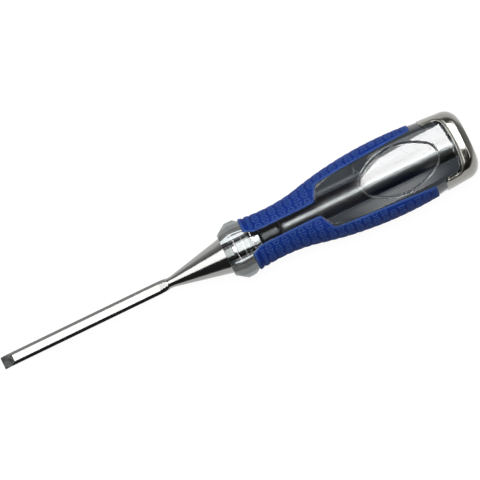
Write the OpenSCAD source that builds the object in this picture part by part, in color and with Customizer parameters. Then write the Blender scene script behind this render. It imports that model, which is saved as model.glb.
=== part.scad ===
// Wood chisel: a bevel-edge blade with a conical bolster and a tang, a clear
// handle core, two soft grip pads, a steel rod inside the core and a strike cap.
// The tool lies along X with its cutting edge at -X and its ground bevel up (+Z).
// Distances along the handle are measured from its front face, where the bolster
// seats, or from its butt.

/* [Blade] */
// Cutting edge to the front of the handle
blade_len = 116.5; // [80:0.5:180]
// Width of the blade
blade_w = 6; // [4.5:0.1:8]
// Thickness of the blade
blade_t = 3; // [2.4:0.1:4]
// Width of the flat between the side bevels
flat_w = 3.1; // [1.5:0.1:4]
// Height of the square land below the side bevels
land_h = 1.85; // [1:0.05:2.2]
// Angle of the ground bevel
edge_angle = 28; // [20:1:35]
// Length over which the blade turns into the round neck
shoulder_len = 5; // [3:0.5:8]
// Diameter of the neck
neck_d = 5.2; // [4:0.1:7]
// Length of the neck between shoulder and bolster
neck_len = 1.6; // [1:0.1:10]
// Radius that leads the neck into the bolster
neck_arc = 12; // [4:1:20]
// Length of the conical bolster
bolster_len = 28.4; // [20:0.1:40]
// Diameter of the bolster where it meets the handle
bolster_d = 17.8; // [13:0.1:19.5]

/* [Tang] */
// Diameter of the tang's thick root inside the collar
root_d = 10.6; // [8:0.1:12]
// Length of the root
root_len = 13; // [8:0.5:18]
// Length of the cone between root and tang
root_taper = 2; // [1:0.5:4]
// Diameter of the tang
tang_d = 6.4; // [5:0.1:7.5]
// Length of blade steel inside the handle
tang_len = 28; // [24:0.5:40]
// Chamfer on the tang's end
tang_chamfer = 0.8; // [0.3:0.1:1.5]

/* [Handle] */
// Front face of the handle to its butt
handle_len = 126; // [115:0.5:140]
// Height of the belly, and of the collar across its flats
handle_h = 25.6; // [24.6:0.1:26.6]
// Width at the waist
waist_d = 24.2; // [23:0.1:25]
// Distance of the waist from the front face
waist_u = 25; // [22:0.5:28]
// Radius of the waist's hollow
waist_arc = 80; // [60:1:110]
// Width at the belly
belly_d = 38.2; // [36:0.1:41]
// Distance of the belly from the butt
belly_back = 40; // [34:0.5:46]
// Length from the start of the straight taper behind the belly to the butt
taper_len = 26; // [22:0.5:30]
// Radius of the long crown on the upper and lower faces
crown_arc = 2000; // [1200:50:4000]
// Rounding of the butt, seen from above
butt_r = 7.5; // [5:0.1:9]
// Rounding of the butt's upper and lower edges
butt_edge_r = 3; // [2.5:0.1:4]

/* [Collar] */
// Width of the collar over its rounded corners
collar_d = 28.2; // [27:0.1:29.4]
// Diameter of the collar's front face
collar_front_d = 20.8; // [20:0.1:24]
// Length of the front slope
collar_slope = 5.4; // [3:0.1:7]
// End of the level part, from the front face
collar_flat_u = 9.4; // [8:0.1:11]
// Diameter where the back slope meets the pads
collar_back_d = 24.4; // [23.5:0.1:25]

/* [Grip pads] */
// Thickness of the pads
pad_t = 1.6; // [1:0.1:2.2]
// Front end of the pads
pad_front = 11.8; // [11.4:0.1:13]
// Distance of the pads' back ends from the butt
pad_back = 23.4; // [21:0.1:30]
// Gap between the pads at their front end
pad_nose_gap = 10.8; // [7:0.1:12]
// Length of the slanted front corners
pad_nose = 4.6; // [3:0.1:7]
// Width of the clear channel between the pads
channel_w = 6.3; // [4:0.1:6.6]
// Front of the clear window behind the pads
window_u = 48; // [44:0.5:54]
// Length of the window's slanted front edges
window_slant = 4; // [2:0.1:6]
// Width of the window at its front
window_front_w = 22.4; // [19:0.1:24]
// Width of the window at the end of the side strips
window_back_w = 28.8; // [26:0.1:30]
// Radius of the window's front corners
window_r = 2.5; // [1:0.1:3.5]

/* [Oval] */
// Length of the bare oval recess in the upper face
oval_l = 39.6; // [30:0.1:42]
// Width of the oval
oval_w = 22.9; // [18:0.1:24]
// Radius of the oval's ends
oval_end_r = 7; // [5:0.1:8]
// Distance of the oval's centre from the butt
oval_back = 35.8; // [34:0.1:40]
// Depth of the oval
oval_depth = 0.6; // [0.3:0.1:1]

/* [Strike cap] */
// Length of the cap along its side wings
wing_len = 18.6; // [16:0.1:20.5]
// Length of the cap behind its openings above and below
rim_len = 5.9; // [5:0.1:10]
// Width of those openings
rim_w = 29.2; // [26:0.1:30]
// Radius of the openings' corners
rim_corner_r = 4.7; // [3:0.1:6]
// Radius of the openings' bowed rear edge
rim_arc = 55; // [40:1:100]
// Wall of the wings
cap_wall = 1.6; // [1.2:0.1:2.2]
// Thickness of the cap's end
cap_end = 4.5; // [4:0.1:5.5]

/* [Strike rod] */
// Diameter of the rod between tang and cap
rod_d = 10.8; // [9:0.1:12]
// Depth of the rod's seat in the cap
rod_seat = 2; // [1:0.1:3]

/* [Fits] */
// Clearance round the tang and the rod
bore_gap = 0.05; // [0.02:0.01:0.15]

/* [Hidden] */
$fn = 96;
// Overlap of cutting shapes past the faces that they cut
over = 1;
// Distance past the neck's circle at which the shoulder's flat faces run out
run_out = 0.2;

waist_r = waist_d / 2;
belly_r = belly_d / 2;
half_h = handle_h / 2;

// The handle's rear features from its front face
belly_u = handle_len - belly_back;
taper_u = handle_len - taper_len;
pad_end = handle_len - pad_back;
oval_u = handle_len - oval_back;
wing_u = handle_len - wing_len;
rim_u = handle_len - rim_len;

// The belly's radius follows from the waist's, so that both arcs meet in one tangent
swell_rise = belly_r - waist_r;
swell_run = belly_u - waist_u;
swell_arcs = (pow(swell_run, 2) + pow(swell_rise, 2)) / (2 * swell_rise);
belly_arc = swell_arcs - waist_arc;
swell_angle = asin(swell_run / swell_arcs);

// Straight taper behind the belly and the centre of the rounding that ends it
taper_angle = asin((taper_u - belly_u) / belly_arc);
butt_u = handle_len - butt_r;
butt_c = belly_r - belly_arc + (belly_arc - butt_r) / cos(taper_angle)
    - (butt_u - belly_u) * tan(taper_angle);

// Centre of the rounding between the crowned faces and the butt
edge_u = handle_len - butt_edge_r;
edge_z = half_h - crown_arc
    + sqrt(pow(crown_arc - butt_edge_r, 2) - pow(edge_u - belly_u, 2));
crown_angle = asin((edge_u - belly_u) / (crown_arc - butt_edge_r));

// Centre of the openings' rounded corners in the cap
rim_c = rim_w / 2 - rim_corner_r;
rim_corner_u = rim_u - rim_arc + sqrt(pow(rim_arc - rim_corner_r, 2) - pow(rim_c, 2));

// Side arcs of the oval, tangent to its ends
oval_c = oval_l / 2 - oval_end_r;
oval_side_r = (pow(oval_c, 2) + pow(oval_w / 2, 2) - pow(oval_end_r, 2)) / (oval_w - 2 * oval_end_r);

// Places along the axis
neck_u = -bolster_len - neck_len;
bevel_end_u = neck_u - shoulder_len;
cap_floor_u = handle_len - cap_end;
rod_end_u = cap_floor_u + rod_seat;
// Middle of the clear gap between the pads and the cap's wings
gap_u = (pad_end + wing_u) / 2;

// The neck's radius may not reach past the neck
bolster_angle = atan((bolster_d - neck_d) / 2 / bolster_len);
neck_blend = min(neck_arc, neck_len / tan(bolster_angle / 2));

function unit(v) = v / norm(v);

// Points of an arc round c, in n steps
function arc(c, r, from, to, n) =
    [for (i = [0:n]) let (a = from + (to - from) * i / n) c + r * [cos(a), sin(a)]];

// Points that round the corner at p, between the directions to a and b
function corner(a, p, b, r, n) =
    let (to_a = unit(a - p), to_b = unit(b - p), half = acos(to_a * to_b) / 2)
    let (c = p + unit(to_a + to_b) * r / sin(half), turn = sign(cross(to_a, to_b)) * (90 - half))
    let (middle = atan2(p[1] - c[1], p[0] - c[0]))
    arc(c, r, middle + turn, middle - turn, n);

// The points again in reverse order, reflected in the first axis
function reflected(points) = [for (i = [len(points) - 1:-1:0]) [points[i][0], -points[i][1]]];

// Stands the tool on its belly and collar, centred over the origin
module place() {
    translate([(blade_len - handle_len) / 2, 0, half_h]) children();
}

// Turns a (radius, distance) profile about the tool's axis
module turn() {
    rotate([0, 90, 0]) rotate_extrude() children();
}

// Extrudes a plan, seen from above, through the whole handle
module through() {
    linear_extrude(handle_h + 2 * over, center = true) children();
}

// Extrudes a (width, height) section along the tool's axis
module along(length) {
    rotate([90, 0, 90]) linear_extrude(length) children();
}

// Half outline of the handle seen from above, drawn in by inset
module body_profile(inset) {
    hollow = waist_arc + inset;
    front_u = pad_front - inset;
    front_angle = asin((front_u - waist_u) / hollow);
    polygon(concat(
        arc([waist_r + waist_arc, waist_u], hollow, 180 - front_angle, 180 - swell_angle, 10),
        arc([belly_r - belly_arc, belly_u], belly_arc - inset, -swell_angle, taper_angle, 12),
        arc([butt_c, butt_u], butt_r - inset, taper_angle, 90, 8),
        [[0, handle_len - inset], [0, front_u]]
    ));
}

// Outline of the handle seen from the side, drawn in by inset
module side_profile(inset) {
    crown = crown_arc - inset;
    front_angle = asin((pad_front - inset - belly_u) / crown);
    upper = concat(
        arc([belly_u, half_h - crown_arc], crown, 90 - front_angle, 90 - crown_angle, 8),
        arc([edge_u, edge_z], butt_edge_r - inset, 90 - crown_angle, 0, 6)
    );
    polygon(concat(upper, reflected(upper)));
}

// The whole handle behind the collar, drawn in by inset, which then reaches as far into the collar
module body(inset = 0) {
    intersection() {
        turn() body_profile(inset);
        rotate([90, 0, 0]) linear_extrude(belly_d + 2 * over, center = true) side_profile(inset);
    }
}

// What lies between two distances from the front face
module between(from, to) {
    intersection() {
        children();
        translate([from, -belly_r, -half_h]) cube([to - from, belly_d, handle_h]);
    }
}

// Six-sided collar with sloped ends
module collar() {
    intersection() {
        turn() polygon([
            [0, 0],
            [collar_front_d / 2, 0],
            [collar_d / 2, collar_slope],
            [collar_d / 2, collar_flat_u],
            [collar_back_d / 2, pad_front],
            [0, pad_front]
        ]);
        rotate([0, 90, 0]) rotate(30) cylinder(d = handle_h / cos(30), h = pad_front, $fn = 6);
    }
}

// Section of the blade: square lands with a bevel on each side of the upper flat
module blade_section() {
    polygon([
        [-blade_w / 2, -blade_t / 2],
        [blade_w / 2, -blade_t / 2],
        [blade_w / 2, land_h - blade_t / 2],
        [flat_w / 2, blade_t / 2],
        [-flat_w / 2, blade_t / 2],
        [-blade_w / 2, land_h - blade_t / 2]
    ]);
}

// Bar of the blade with its ground bevel
module blade_bar() {
    grind = [blade_t / tan(edge_angle), blade_t];
    translate([-blade_len, 0, 0]) difference() {
        along(blade_len + bevel_end_u) blade_section();
        rotate([90, 0, 0]) linear_extrude(blade_w + 2 * over, center = true)
            translate([0, -blade_t / 2]) polygon([[0, 0], 2 * grind, [-over, 2 * blade_t], [-over, 0]]);
    }
}

// Change from the blade's section to the round neck: every face of the blade lifts
// in a straight line towards the neck, inside a turned cone
module shoulder() {
    end_r = neck_d / 2 + run_out;
    bevel_angle = atan2(blade_t - land_h, (blade_w - flat_w) / 2);
    bevel_r = flat_w / 2 * sin(bevel_angle) + blade_t / 2 * cos(bevel_angle);
    lift = atan((end_r - bevel_r) / shoulder_len);
    difference() {
        intersection() {
            turn() polygon([
                [0, bevel_end_u],
                [blade_w / 2 + blade_t / 4, bevel_end_u],
                [neck_d / 2, neck_u],
                [0, neck_u]
            ]);
            linear_extrude(2 * end_r, center = true) run(blade_w / 2, end_r);
            rotate([90, 0, 0]) linear_extrude(blade_w + 2 * end_r, center = true) run(blade_t / 2, end_r);
        }
        for (side = [0, 1])
            mirror([0, side, 0]) translate([bevel_end_u, flat_w / 2, blade_t / 2])
                rotate([-bevel_angle, 0, 0]) rotate([0, -lift, 0])
                translate([-over, -blade_w, 0]) cube([shoulder_len + 2 * over, 2 * blade_w, neck_d]);
    }
}

// Outline of the shoulder from one half width to another
module run(from, to) {
    upper = [[bevel_end_u, from], [neck_u, to]];
    polygon(concat(upper, reflected(upper)));
}

// Neck and bolster in front of the handle
module bolster_profile() {
    neck = [neck_d / 2, neck_u];
    base = [bolster_d / 2, 0];
    blend = corner(neck, [neck_d / 2, -bolster_len], base, neck_blend, 4);
    polygon(concat([[0, neck_u], neck], blend, [base, [0, 0]]));
}

// Thick root and tang, made larger all round by gap and longer by past
module tang_profile(gap, chamfer, past) {
    r = tang_d / 2 + gap;
    end_u = tang_len + past;
    polygon([
        [0, 0],
        [root_d / 2 + gap, 0],
        [root_d / 2 + gap, root_len],
        [r, root_len + root_taper],
        [r, end_u - chamfer],
        [r - chamfer, end_u],
        [0, end_u]
    ]);
}

// Rod from the tang's end to its seat in the cap, made larger all round by gap
module rod(gap) {
    translate([tang_len, 0, 0]) rotate([0, 90, 0]) cylinder(d = rod_d + 2 * gap, h = rod_end_u - tang_len);
}

// One pad seen from above, reaching out past the handle's side
module pad_plan() {
    channel_end = [window_u, channel_w / 2];
    window_corner = [window_u + window_slant, window_front_w / 2];
    strip_end = [pad_end, window_back_w / 2];
    polygon(concat(
        [[pad_front, pad_nose_gap / 2], [pad_front + pad_nose, channel_w / 2], channel_end],
        corner(channel_end, window_corner, strip_end, window_r, 6),
        [strip_end, [pad_end, belly_r + over], [pad_front, belly_r + over]]
    ));
}

// Pad that wraps one side of the handle from above to below
module grip_pad() {
    difference() {
        intersection() {
            body();
            through() pad_plan();
        }
        body(pad_t);
    }
}

// Opening above and below between the cap's wings
module rim_plan() {
    lean = asin(rim_c / (rim_arc - rim_corner_r));
    half = concat(
        arc([rim_u - rim_arc, 0], rim_arc, 0, lean, 3),
        arc([rim_corner_u, rim_c], rim_corner_r, lean, 90, 6),
        [[wing_u - over, rim_w / 2]]
    );
    polygon(concat(half, reflected(half)));
}

// The cap seen from above, reaching out past the handle
module cap_plan() {
    difference() {
        translate([wing_u, -belly_r - over]) square([handle_len - wing_u + over, belly_d + 2 * over]);
        rim_plan();
    }
}

// Core under the cap, which the cap's inside fits
module cap_core() {
    between(gap_u, cap_floor_u) body(cap_wall);
}

// Cup over the handle's end, open above and below, with a seat for the rod
module cap() {
    difference() {
        intersection() {
            body();
            through() cap_plan();
        }
        cap_core();
        rod(0);
    }
}

// Oval of four tangent arcs
module oval_plan() {
    drop = oval_side_r - oval_w / 2;
    lean = atan2(drop, oval_c);
    half = concat(
        arc([oval_c, 0], oval_end_r, 0, lean, 5),
        arc([0, -drop], oval_side_r, lean, 180 - lean, 10),
        arc([-oval_c, 0], oval_end_r, 180 - lean, 180, 5)
    );
    polygon(concat(half, reflected(half)));
}

module blade() {
    color("silver") place() {
        blade_bar();
        shoulder();
        turn() bolster_profile();
        turn() tang_profile(0, tang_chamfer, 0);
    }
}

module handle_core() {
    color("lightsteelblue", 0.5) place() difference() {
        union() {
            collar();
            between(0, gap_u) body(pad_t);
            cap_core();
            difference() {
                body();
                through() pad_plan();
                through() mirror([0, 1]) pad_plan();
                through() cap_plan();
            }
        }
        turn() tang_profile(bore_gap, 0, over);
        rod(bore_gap);
        translate([oval_u, 0, half_h - oval_depth]) linear_extrude(oval_depth + over) oval_plan();
    }
}

module grip_pad_left() {
    color("royalblue") place() mirror([0, 1, 0]) grip_pad();
}

module grip_pad_right() {
    color("royalblue") place() grip_pad();
}

module strike_rod() {
    color("gainsboro") place() rod(0);
}

module strike_cap() {
    color("darkgray") place() cap();
}

blade();
handle_core();
grip_pad_left();
grip_pad_right();
strike_rod();
strike_cap();
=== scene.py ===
"""Wood chisel: the looks of its ground blade, clear handle, soft grips, strike rod and strike cap."""

import math

import bmesh
import bpy
from mathutils import Matrix, Vector


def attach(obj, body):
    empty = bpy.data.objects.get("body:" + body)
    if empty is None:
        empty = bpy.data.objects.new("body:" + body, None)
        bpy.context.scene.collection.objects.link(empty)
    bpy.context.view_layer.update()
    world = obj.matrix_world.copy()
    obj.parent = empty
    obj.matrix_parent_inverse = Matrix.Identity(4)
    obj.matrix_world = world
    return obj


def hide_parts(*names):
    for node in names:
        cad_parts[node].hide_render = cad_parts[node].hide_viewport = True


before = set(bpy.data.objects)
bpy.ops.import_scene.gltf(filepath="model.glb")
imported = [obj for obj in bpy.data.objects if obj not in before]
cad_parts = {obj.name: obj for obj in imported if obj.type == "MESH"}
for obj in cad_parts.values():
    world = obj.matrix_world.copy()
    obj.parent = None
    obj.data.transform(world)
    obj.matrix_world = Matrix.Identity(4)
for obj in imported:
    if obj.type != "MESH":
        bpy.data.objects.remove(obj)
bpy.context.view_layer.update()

# Sizes in millimetres, in the solids' frame. u runs along the tool from the handle's front face, y across
# it and h up from its axis. A pair gives the start and the end of a range, but GROOVES_U gives two places.
MM = 0.001
FRONT_X = -4.75
AXIS_Z = 12.8

BLADE_LEN = 116.5
BLADE_HALF_W = 3.0
BLADE_HALF_T = 1.5
FLAT_HALF_W = 1.55
LAND_H = 1.85
EDGE_ANGLE = math.radians(28)
BEVEL_END_U = -35.0
NECK_U = -30.0
NECK_R = 2.6
NECK_ARC = 12.0
SHOULDER_R = 3.75
SHOULDER_OVER = 0.2
BOLSTER_LEN = 28.4
BOLSTER_R = 8.9
ROOT_R = 5.3
ROOT_LEN = 18.0
ROOT_STEP = 0.7
ROOT_SQUARE = 3.2
TANG_R = 3.2
TANG_LEN = 28.0
ROD_R = 5.4
ROD_END_U = 123.5
ROD_SIDES = 96

HANDLE_LEN = 126.0
HALF_H = 12.8
WAIST_R = 12.1
WAIST_U = 25.0
WAIST_ARC = 80.0
BELLY_R = 19.1
BELLY_U = 86.0
TAPER_U = 100.0
CROWN_ARC = 2000.0
WINDOW_H = 12.45
WINDOW_CROWN_ARC = 8000.0
CHANNEL_H = 11.35
REAR_CROWN_ARC = 2000.0
DOME_ARC = 85.0
WINDOW_STEP = 0.6
WINDOW_RIM = 0.15
WINDOW_RIM_U = (60.0, 100.0)
BUTT_R = 7.5
BUTT_EDGE_R = 3.0
BUTT_SLOPE = 0.62
BUTT_BEND = 0.3
BUTT_BEND_SOFT = 0.25
BUTT_CORNER_R = 0.4
BODY_SHARPNESS = 26

COLLAR_R = 14.1
COLLAR_FRONT_R = 10.4
COLLAR_FRONT_H = 10.8
COLLAR_FLAT_H = 12.45
COLLAR_BACK_H = 11.9
COLLAR_SLOPE = 5.4
COLLAR_FLAT_U = 9.4
COLLAR_BACK_R = 12.2
COLLAR_END_U = 11.8
COLLAR_FADE = 2.5
COLLAR_OVER_R = 15.5  # above and below, where the cones leave the flats whole
COLLAR_OVER_RISE = (0.5, 0.85)
CORE_SHARPNESS = 60
CORE_CHAMFER = 0.15

PAD_T = 1.6
PAD_END_U = 102.6
PAD_NOSE_Y = 5.4
PAD_NOSE_U = 16.4
CHANNEL_Y = 3.15
WINDOW_U = 48.0
WINDOW_CORNER_U = 52.0
WINDOW_FRONT_Y = 11.2
WINDOW_BACK_Y = 14.4
PAD_PROUD = 0.5
PAD_SEAT = 1.0
PAD_SEAT_U = (40.0, 50.0)
PAD_TUCK = 0.7  # how far in from a pad's edge the core falls away under it
PAD_LEAVE_U = (101.0, 103.5)
PAD_EDGE = 0.75
PAD_BORDER = 1.0
PAD_FIELD = 1.4
PAD_FIELD_DEPTH = 0.14
PAD_DEEPEST = 1.2
PAD_SOFT = {"nose": 0.5, "corner": 1.1, "window": 0.9}
GROOVES_U = (14.35, 17.85)
GROOVE_DEPTH = 0.45
GROOVE_W = 0.42
WRAP_UNIT = 100  # the length that counts as 1 where the embossing is laid out

OVAL_U = 90.2
OVAL_HALF_L = 19.8
OVAL_HALF_W = 11.45
OVAL_END_R = 7.0
OVAL_REACH_U = (69, 111.5)
OVAL_GROOVE_W = 0.4
OVAL_GROOVE_DEPTH = 0.3
OVAL_FLOOR_DEPTH = 0.2
OVAL_SLOPE = (-0.1, 0.5)
OVAL_LINE = (0.2, 0.4)

WING_U = 107.4
RIM_U = 118.4
RIM_HALF_W = 14.0
RIM_CORNER_R = 4.7
RIM_ARC = 55.0
RIM_DIP = 0.25
RIM_DIP_U = (-1.2, 0.3)
WING_CORNER_R = 2.0
CAP_WALL = 1.6
CAP_FLOOR_U = 121.5

# Tint of the core, from 0 for clear to 1 for dark: the plastic's own smoky tint, with painted shade laid over
# it and the collar's edges left clear as painted highlights
# Painted shade: the collar's lower facet is dark outside a clear middle strip
COLLAR_UNDER_SHADE = 0.75
COLLAR_UNDER_SHADE_Y = (4.2, 4.8)
# Painted shade on the collar's side facets, left clear along their edges as painted highlights
FACET_SHADE = 0.92
FACET_SHADE_CLEAR_EDGE = (0.4, 1.2)
# The body's own smoky tint on top, with painted shade growing to full dark on its lower half
TOP_SMOKE = 0.28
SHADE_H = (-3.0, 7.0)
SMOKE_U = (11.0, 14.0)
# Painted shade on the lower sides by the gap between the grips and the cap
GAP_SHADE_U = (100.0, 101.5)
GAP_SHADE_Y = (13.5, 15.0)
GAP_SHADE_H = (2.0, 6.0)

# The belly's arc follows from the waist's, so that both meet in one tangent
swell_rise = BELLY_R - WAIST_R
swell_run = BELLY_U - WAIST_U
swell_arcs = (swell_run**2 + swell_rise**2) / (2 * swell_rise)
belly_arc = swell_arcs - WAIST_ARC
swell_end_u = WAIST_U + swell_run * WAIST_ARC / swell_arcs
taper = math.asin((TAPER_U - BELLY_U) / belly_arc)
butt_u = HANDLE_LEN - BUTT_R
butt_c = BELLY_R - belly_arc + (belly_arc - BUTT_R) / math.cos(taper)
butt_c -= (butt_u - BELLY_U) * math.tan(taper)
edge_u = HANDLE_LEN - BUTT_EDGE_R


def at(u, y, h):
    """A point of the tool in metres, in the shared frame."""
    return Vector((u + FRONT_X, y, h + AXIS_Z)) * MM


def polar(u, distance, a):
    """The point at u that lies at a distance from the axis, at angle a."""
    return u, distance * math.cos(a), distance * math.sin(a)


def smooth(low, high, value):
    """Runs softly from 0 to 1 as value runs from low to high."""
    t = min(1.0, max(0.0, (value - low) / (high - low)))
    return t * t * (3 - 2 * t)


def spread(*stops):
    """Values from stop to stop; each stop after the first is (value, number of steps)."""
    values = [stops[0]]
    for stop, steps in stops[1:]:
        start = values[-1]
        values += [start + (stop - start) * (i + 1) / steps for i in range(steps)]
    return values


def body_r(u):
    """Half width of the handle's turned outline."""
    if u < swell_end_u:
        return WAIST_R + WAIST_ARC - math.sqrt(WAIST_ARC**2 - (u - WAIST_U) ** 2)
    if u < TAPER_U:
        return BELLY_R - belly_arc + math.sqrt(belly_arc**2 - (u - BELLY_U) ** 2)
    if u < butt_u + BUTT_R * math.sin(taper):
        return BELLY_R - belly_arc + belly_arc * math.cos(taper) - (u - TAPER_U) * math.tan(taper)
    return butt_c + math.sqrt(max(0.0, BUTT_R**2 - (u - butt_u) ** 2))


def body_h(u):
    """Half height of the handle between its crowned upper and lower faces."""
    crown = HALF_H - (u - BELLY_U) ** 2 / (2 * CROWN_ARC)
    if u < edge_u:
        return crown
    past = u - edge_u - BUTT_BEND
    slope = BUTT_SLOPE * (math.hypot(past, BUTT_BEND_SOFT) + past) / 2
    corner = max(0.0, u - HANDLE_LEN + BUTT_CORNER_R)
    return crown - slope - BUTT_CORNER_R + math.sqrt(max(0.0, BUTT_CORNER_R**2 - corner**2))


def soft_least(values, sharpness):
    """The least of some distances, with the corners between them rounded."""
    least = min(values)
    return least * sum((least / v) ** sharpness for v in values) ** (-1 / sharpness)


def domed_face(h, a):
    """Distance from the axis to a domed face of half height h, at angle a."""
    rise = abs(math.sin(a))
    bow = math.cos(a) ** 2 / (2 * DOME_ARC)
    return 2 * h / (rise + math.sqrt(rise**2 + 4 * bow * h))


def section(r, h, a):
    """Distance from the axis to a round of radius r with domed upper and lower faces, at angle a."""
    return soft_least((r, domed_face(h, a)), BODY_SHARPNESS)


def skin(u, a, inset):
    """Point on the handle's outer skin, drawn in by inset."""
    return polar(u, section(body_r(u) - inset, body_h(u) - inset, a), a)


def angle_at(u, y, inset=0.0):
    """Angle at which the skin above the axis has the distance y from the middle plane."""
    low, high = 0.0, math.pi / 2
    for _ in range(40):
        middle = (low + high) / 2
        if skin(u, middle, inset)[1] > y:
            low = middle
        else:
            high = middle
    return (low + high) / 2


def loft(rings, closed_start=None, closed_end=None):
    """Points and faces between rings of equal count, with a centre point or a flat face at the ends."""
    count = len(rings[0])
    points = [p for ring in rings for p in ring]
    faces = []
    for i in range(len(rings) - 1):
        a, b = i * count, (i + 1) * count
        for j in range(count):
            k = (j + 1) % count
            faces.append((a + j, a + k, b + k, b + j))
    for centre, first in ((closed_start, 0), (closed_end, (len(rings) - 1) * count)):
        if centre == "flat":
            faces.append(tuple(range(first, first + count)))
        elif centre is not None:
            points.append(centre)
            faces += [(first + j, first + (j + 1) % count, len(points) - 1) for j in range(count)]
    return points, faces


def square_up(mesh, join):
    """Joins points that lie closer together than join, if given, and turns every face outwards."""
    work = bmesh.new()
    work.from_mesh(mesh)
    if join:
        bmesh.ops.remove_doubles(work, verts=work.verts, dist=join)
    bmesh.ops.recalc_face_normals(work, faces=work.faces)
    work.to_mesh(mesh)
    work.free()


def show(name, mesh):
    """Puts a mesh into the scene under its name."""
    made = bpy.data.objects.new(name, mesh)
    bpy.context.scene.collection.objects.link(made)
    return made


def piece(name, points, faces, finish, crease=40, join=1e-7):
    """A closed piece of the tool from points in millimetres."""
    mesh = bpy.data.meshes.new(name)
    mesh.from_pydata([at(*p) for p in points], [], faces)
    square_up(mesh, join)
    mesh.shade_smooth()
    mesh.set_sharp_from_angle(angle=math.radians(crease))
    mesh.materials.append(finish)
    return show(name, mesh)


def carry(made, label, values, domain="POINT"):
    """Gives a piece's mesh a named value for each point or face."""
    marks = made.data.attributes.new(label, "FLOAT", domain)
    marks.data.foreach_set("value", values)


def settle(made, node):
    """Puts a finished piece in the place of its solid."""
    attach(made, "root")
    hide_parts(node)


# Finishes


def feed(tree, socket, value):
    """Links a socket to another node's output, or sets its own value."""
    if isinstance(value, bpy.types.NodeSocket):
        tree.links.new(value, socket)
    else:
        socket.default_value = value


def add(tree, kind, sockets=None, **settings):
    """A node with its settings and its sockets' values or links."""
    node = tree.nodes.new(kind)
    for name, value in settings.items():
        setattr(node, name, value)
    for name, value in (sockets or {}).items():
        feed(tree, node.inputs[name], value)
    return node


def maths(tree):
    """A function that adds calculations with two values to a node tree."""

    def calc(operation, a, b):
        return add(tree, "ShaderNodeMath", {0: a, 1: b}, operation=operation).outputs[0]

    return calc


def new_finish(name):
    """A material with its node tree and its shader."""
    finish = bpy.data.materials.new(name)
    finish.use_nodes = True
    tree = finish.node_tree
    tree.nodes.clear()
    out = add(tree, "ShaderNodeOutputMaterial")
    shader = add(tree, "ShaderNodeBsdfPrincipled")
    tree.links.new(shader.outputs["BSDF"], out.inputs["Surface"])
    return finish, tree, shader


def grain(tree, stretch, detail=4.0):
    """Noise on the piece's own coordinates, with stretch repeats to the metre along each axis."""
    place = add(tree, "ShaderNodeTexCoord")
    mapping = add(tree, "ShaderNodeMapping", {"Vector": place.outputs["Object"], "Scale": stretch})
    sockets = {"Vector": mapping.outputs[0], "Scale": 1.0, "Detail": detail, "Roughness": 0.6}
    return add(tree, "ShaderNodeTexNoise", sockets).outputs[0]


def ramp(tree, value, low, high, start=0.3, end=0.7):
    """A value that runs from low to high as value runs from start to end."""
    sockets = {"Value": value, "From Min": start, "From Max": end, "To Min": low, "To Max": high}
    return add(tree, "ShaderNodeMapRange", sockets).outputs[0]


def blend(tree, share, low, high):
    """A mix of two colours."""
    node = add(tree, "ShaderNodeMix", data_type="RGBA")
    sockets = [s for s in node.inputs if s.enabled]
    for socket, value in zip(sockets, (share, low, high)):
        feed(tree, socket, value)
    return next(s for s in node.outputs if s.enabled)


def relief(tree, shader, height, distance, strength):
    """Fine bumps on a shader, distance metres high."""
    bump = add(tree, "ShaderNodeBump", {"Height": height, "Distance": distance, "Strength": strength})
    tree.links.new(bump.outputs[0], shader.inputs["Normal"])


def mark(tree, name):
    """A value that the piece's mesh carries."""
    return add(tree, "ShaderNodeAttribute", attribute_name=name).outputs["Fac"]


def polished_blade():
    """Steel ground and polished lengthwise, with a duller ground bevel and a tang left as forged."""
    finish, tree, shader = new_finish("polished_blade_steel")
    scratches = grain(tree, (9, 1500, 1500))
    clouds = ramp(tree, grain(tree, (330, 330, 330), 3.0), 0.0, 1.0, 0.36, 0.64)
    grind = grain(tree, (2600, 90, 90), 3.0)
    bevel = mark(tree, "ground_bevel")
    polished = blend(tree, scratches, (0.29, 0.29, 0.285, 1), (0.37, 0.37, 0.36, 1))
    ground = blend(tree, clouds, (0.16, 0.16, 0.16, 1), (0.44, 0.46, 0.46, 1))
    steel = blend(tree, bevel, polished, ground)
    tang = mark(tree, "forged_tang")
    forged = blend(tree, clouds, (0.095, 0.096, 0.098, 1), (0.12, 0.122, 0.125, 1))
    tree.links.new(blend(tree, tang, steel, forged), shader.inputs["Base Color"])
    gloss = ramp(tree, scratches, 0.10, 0.19)
    dull = ramp(tree, grind, 0.34, 0.5)
    scaly = ramp(tree, grind, 0.3, 0.4)
    rough = blend(tree, tang, blend(tree, bevel, gloss, dull), scaly)
    tree.links.new(rough, shader.inputs["Roughness"])
    shader.inputs["Metallic"].default_value = 1.0
    relief(tree, shader, blend(tree, bevel, scratches, grind), 0.000006, 0.5)
    return finish


def drawn_rod():
    """Bright drawn steel with faint lines along the rod."""
    finish, tree, shader = new_finish("drawn_rod_steel")
    lines = grain(tree, (6, 1100, 1100))
    steel = blend(tree, lines, (0.38, 0.38, 0.375, 1), (0.50, 0.50, 0.495, 1))
    tree.links.new(steel, shader.inputs["Base Color"])
    tree.links.new(ramp(tree, lines, 0.31, 0.41), shader.inputs["Roughness"])
    shader.inputs["Metallic"].default_value = 1.0
    relief(tree, shader, lines, 0.000008, 0.4)
    return finish


def plated_cap():
    """Polished plate over pressed steel, faintly hazed and dented."""
    finish, tree, shader = new_finish("plated_cap_steel")
    haze = grain(tree, (300, 300, 300), 5.0)
    dents = grain(tree, (120, 120, 120), 2.0)
    plate = blend(tree, haze, (0.24, 0.235, 0.215, 1), (0.33, 0.325, 0.30, 1))
    tree.links.new(plate, shader.inputs["Base Color"])
    tree.links.new(ramp(tree, haze, 0.06, 0.16), shader.inputs["Roughness"])
    shader.inputs["Metallic"].default_value = 1.0
    relief(tree, shader, dents, 0.00004, 0.3)
    return finish


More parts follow.
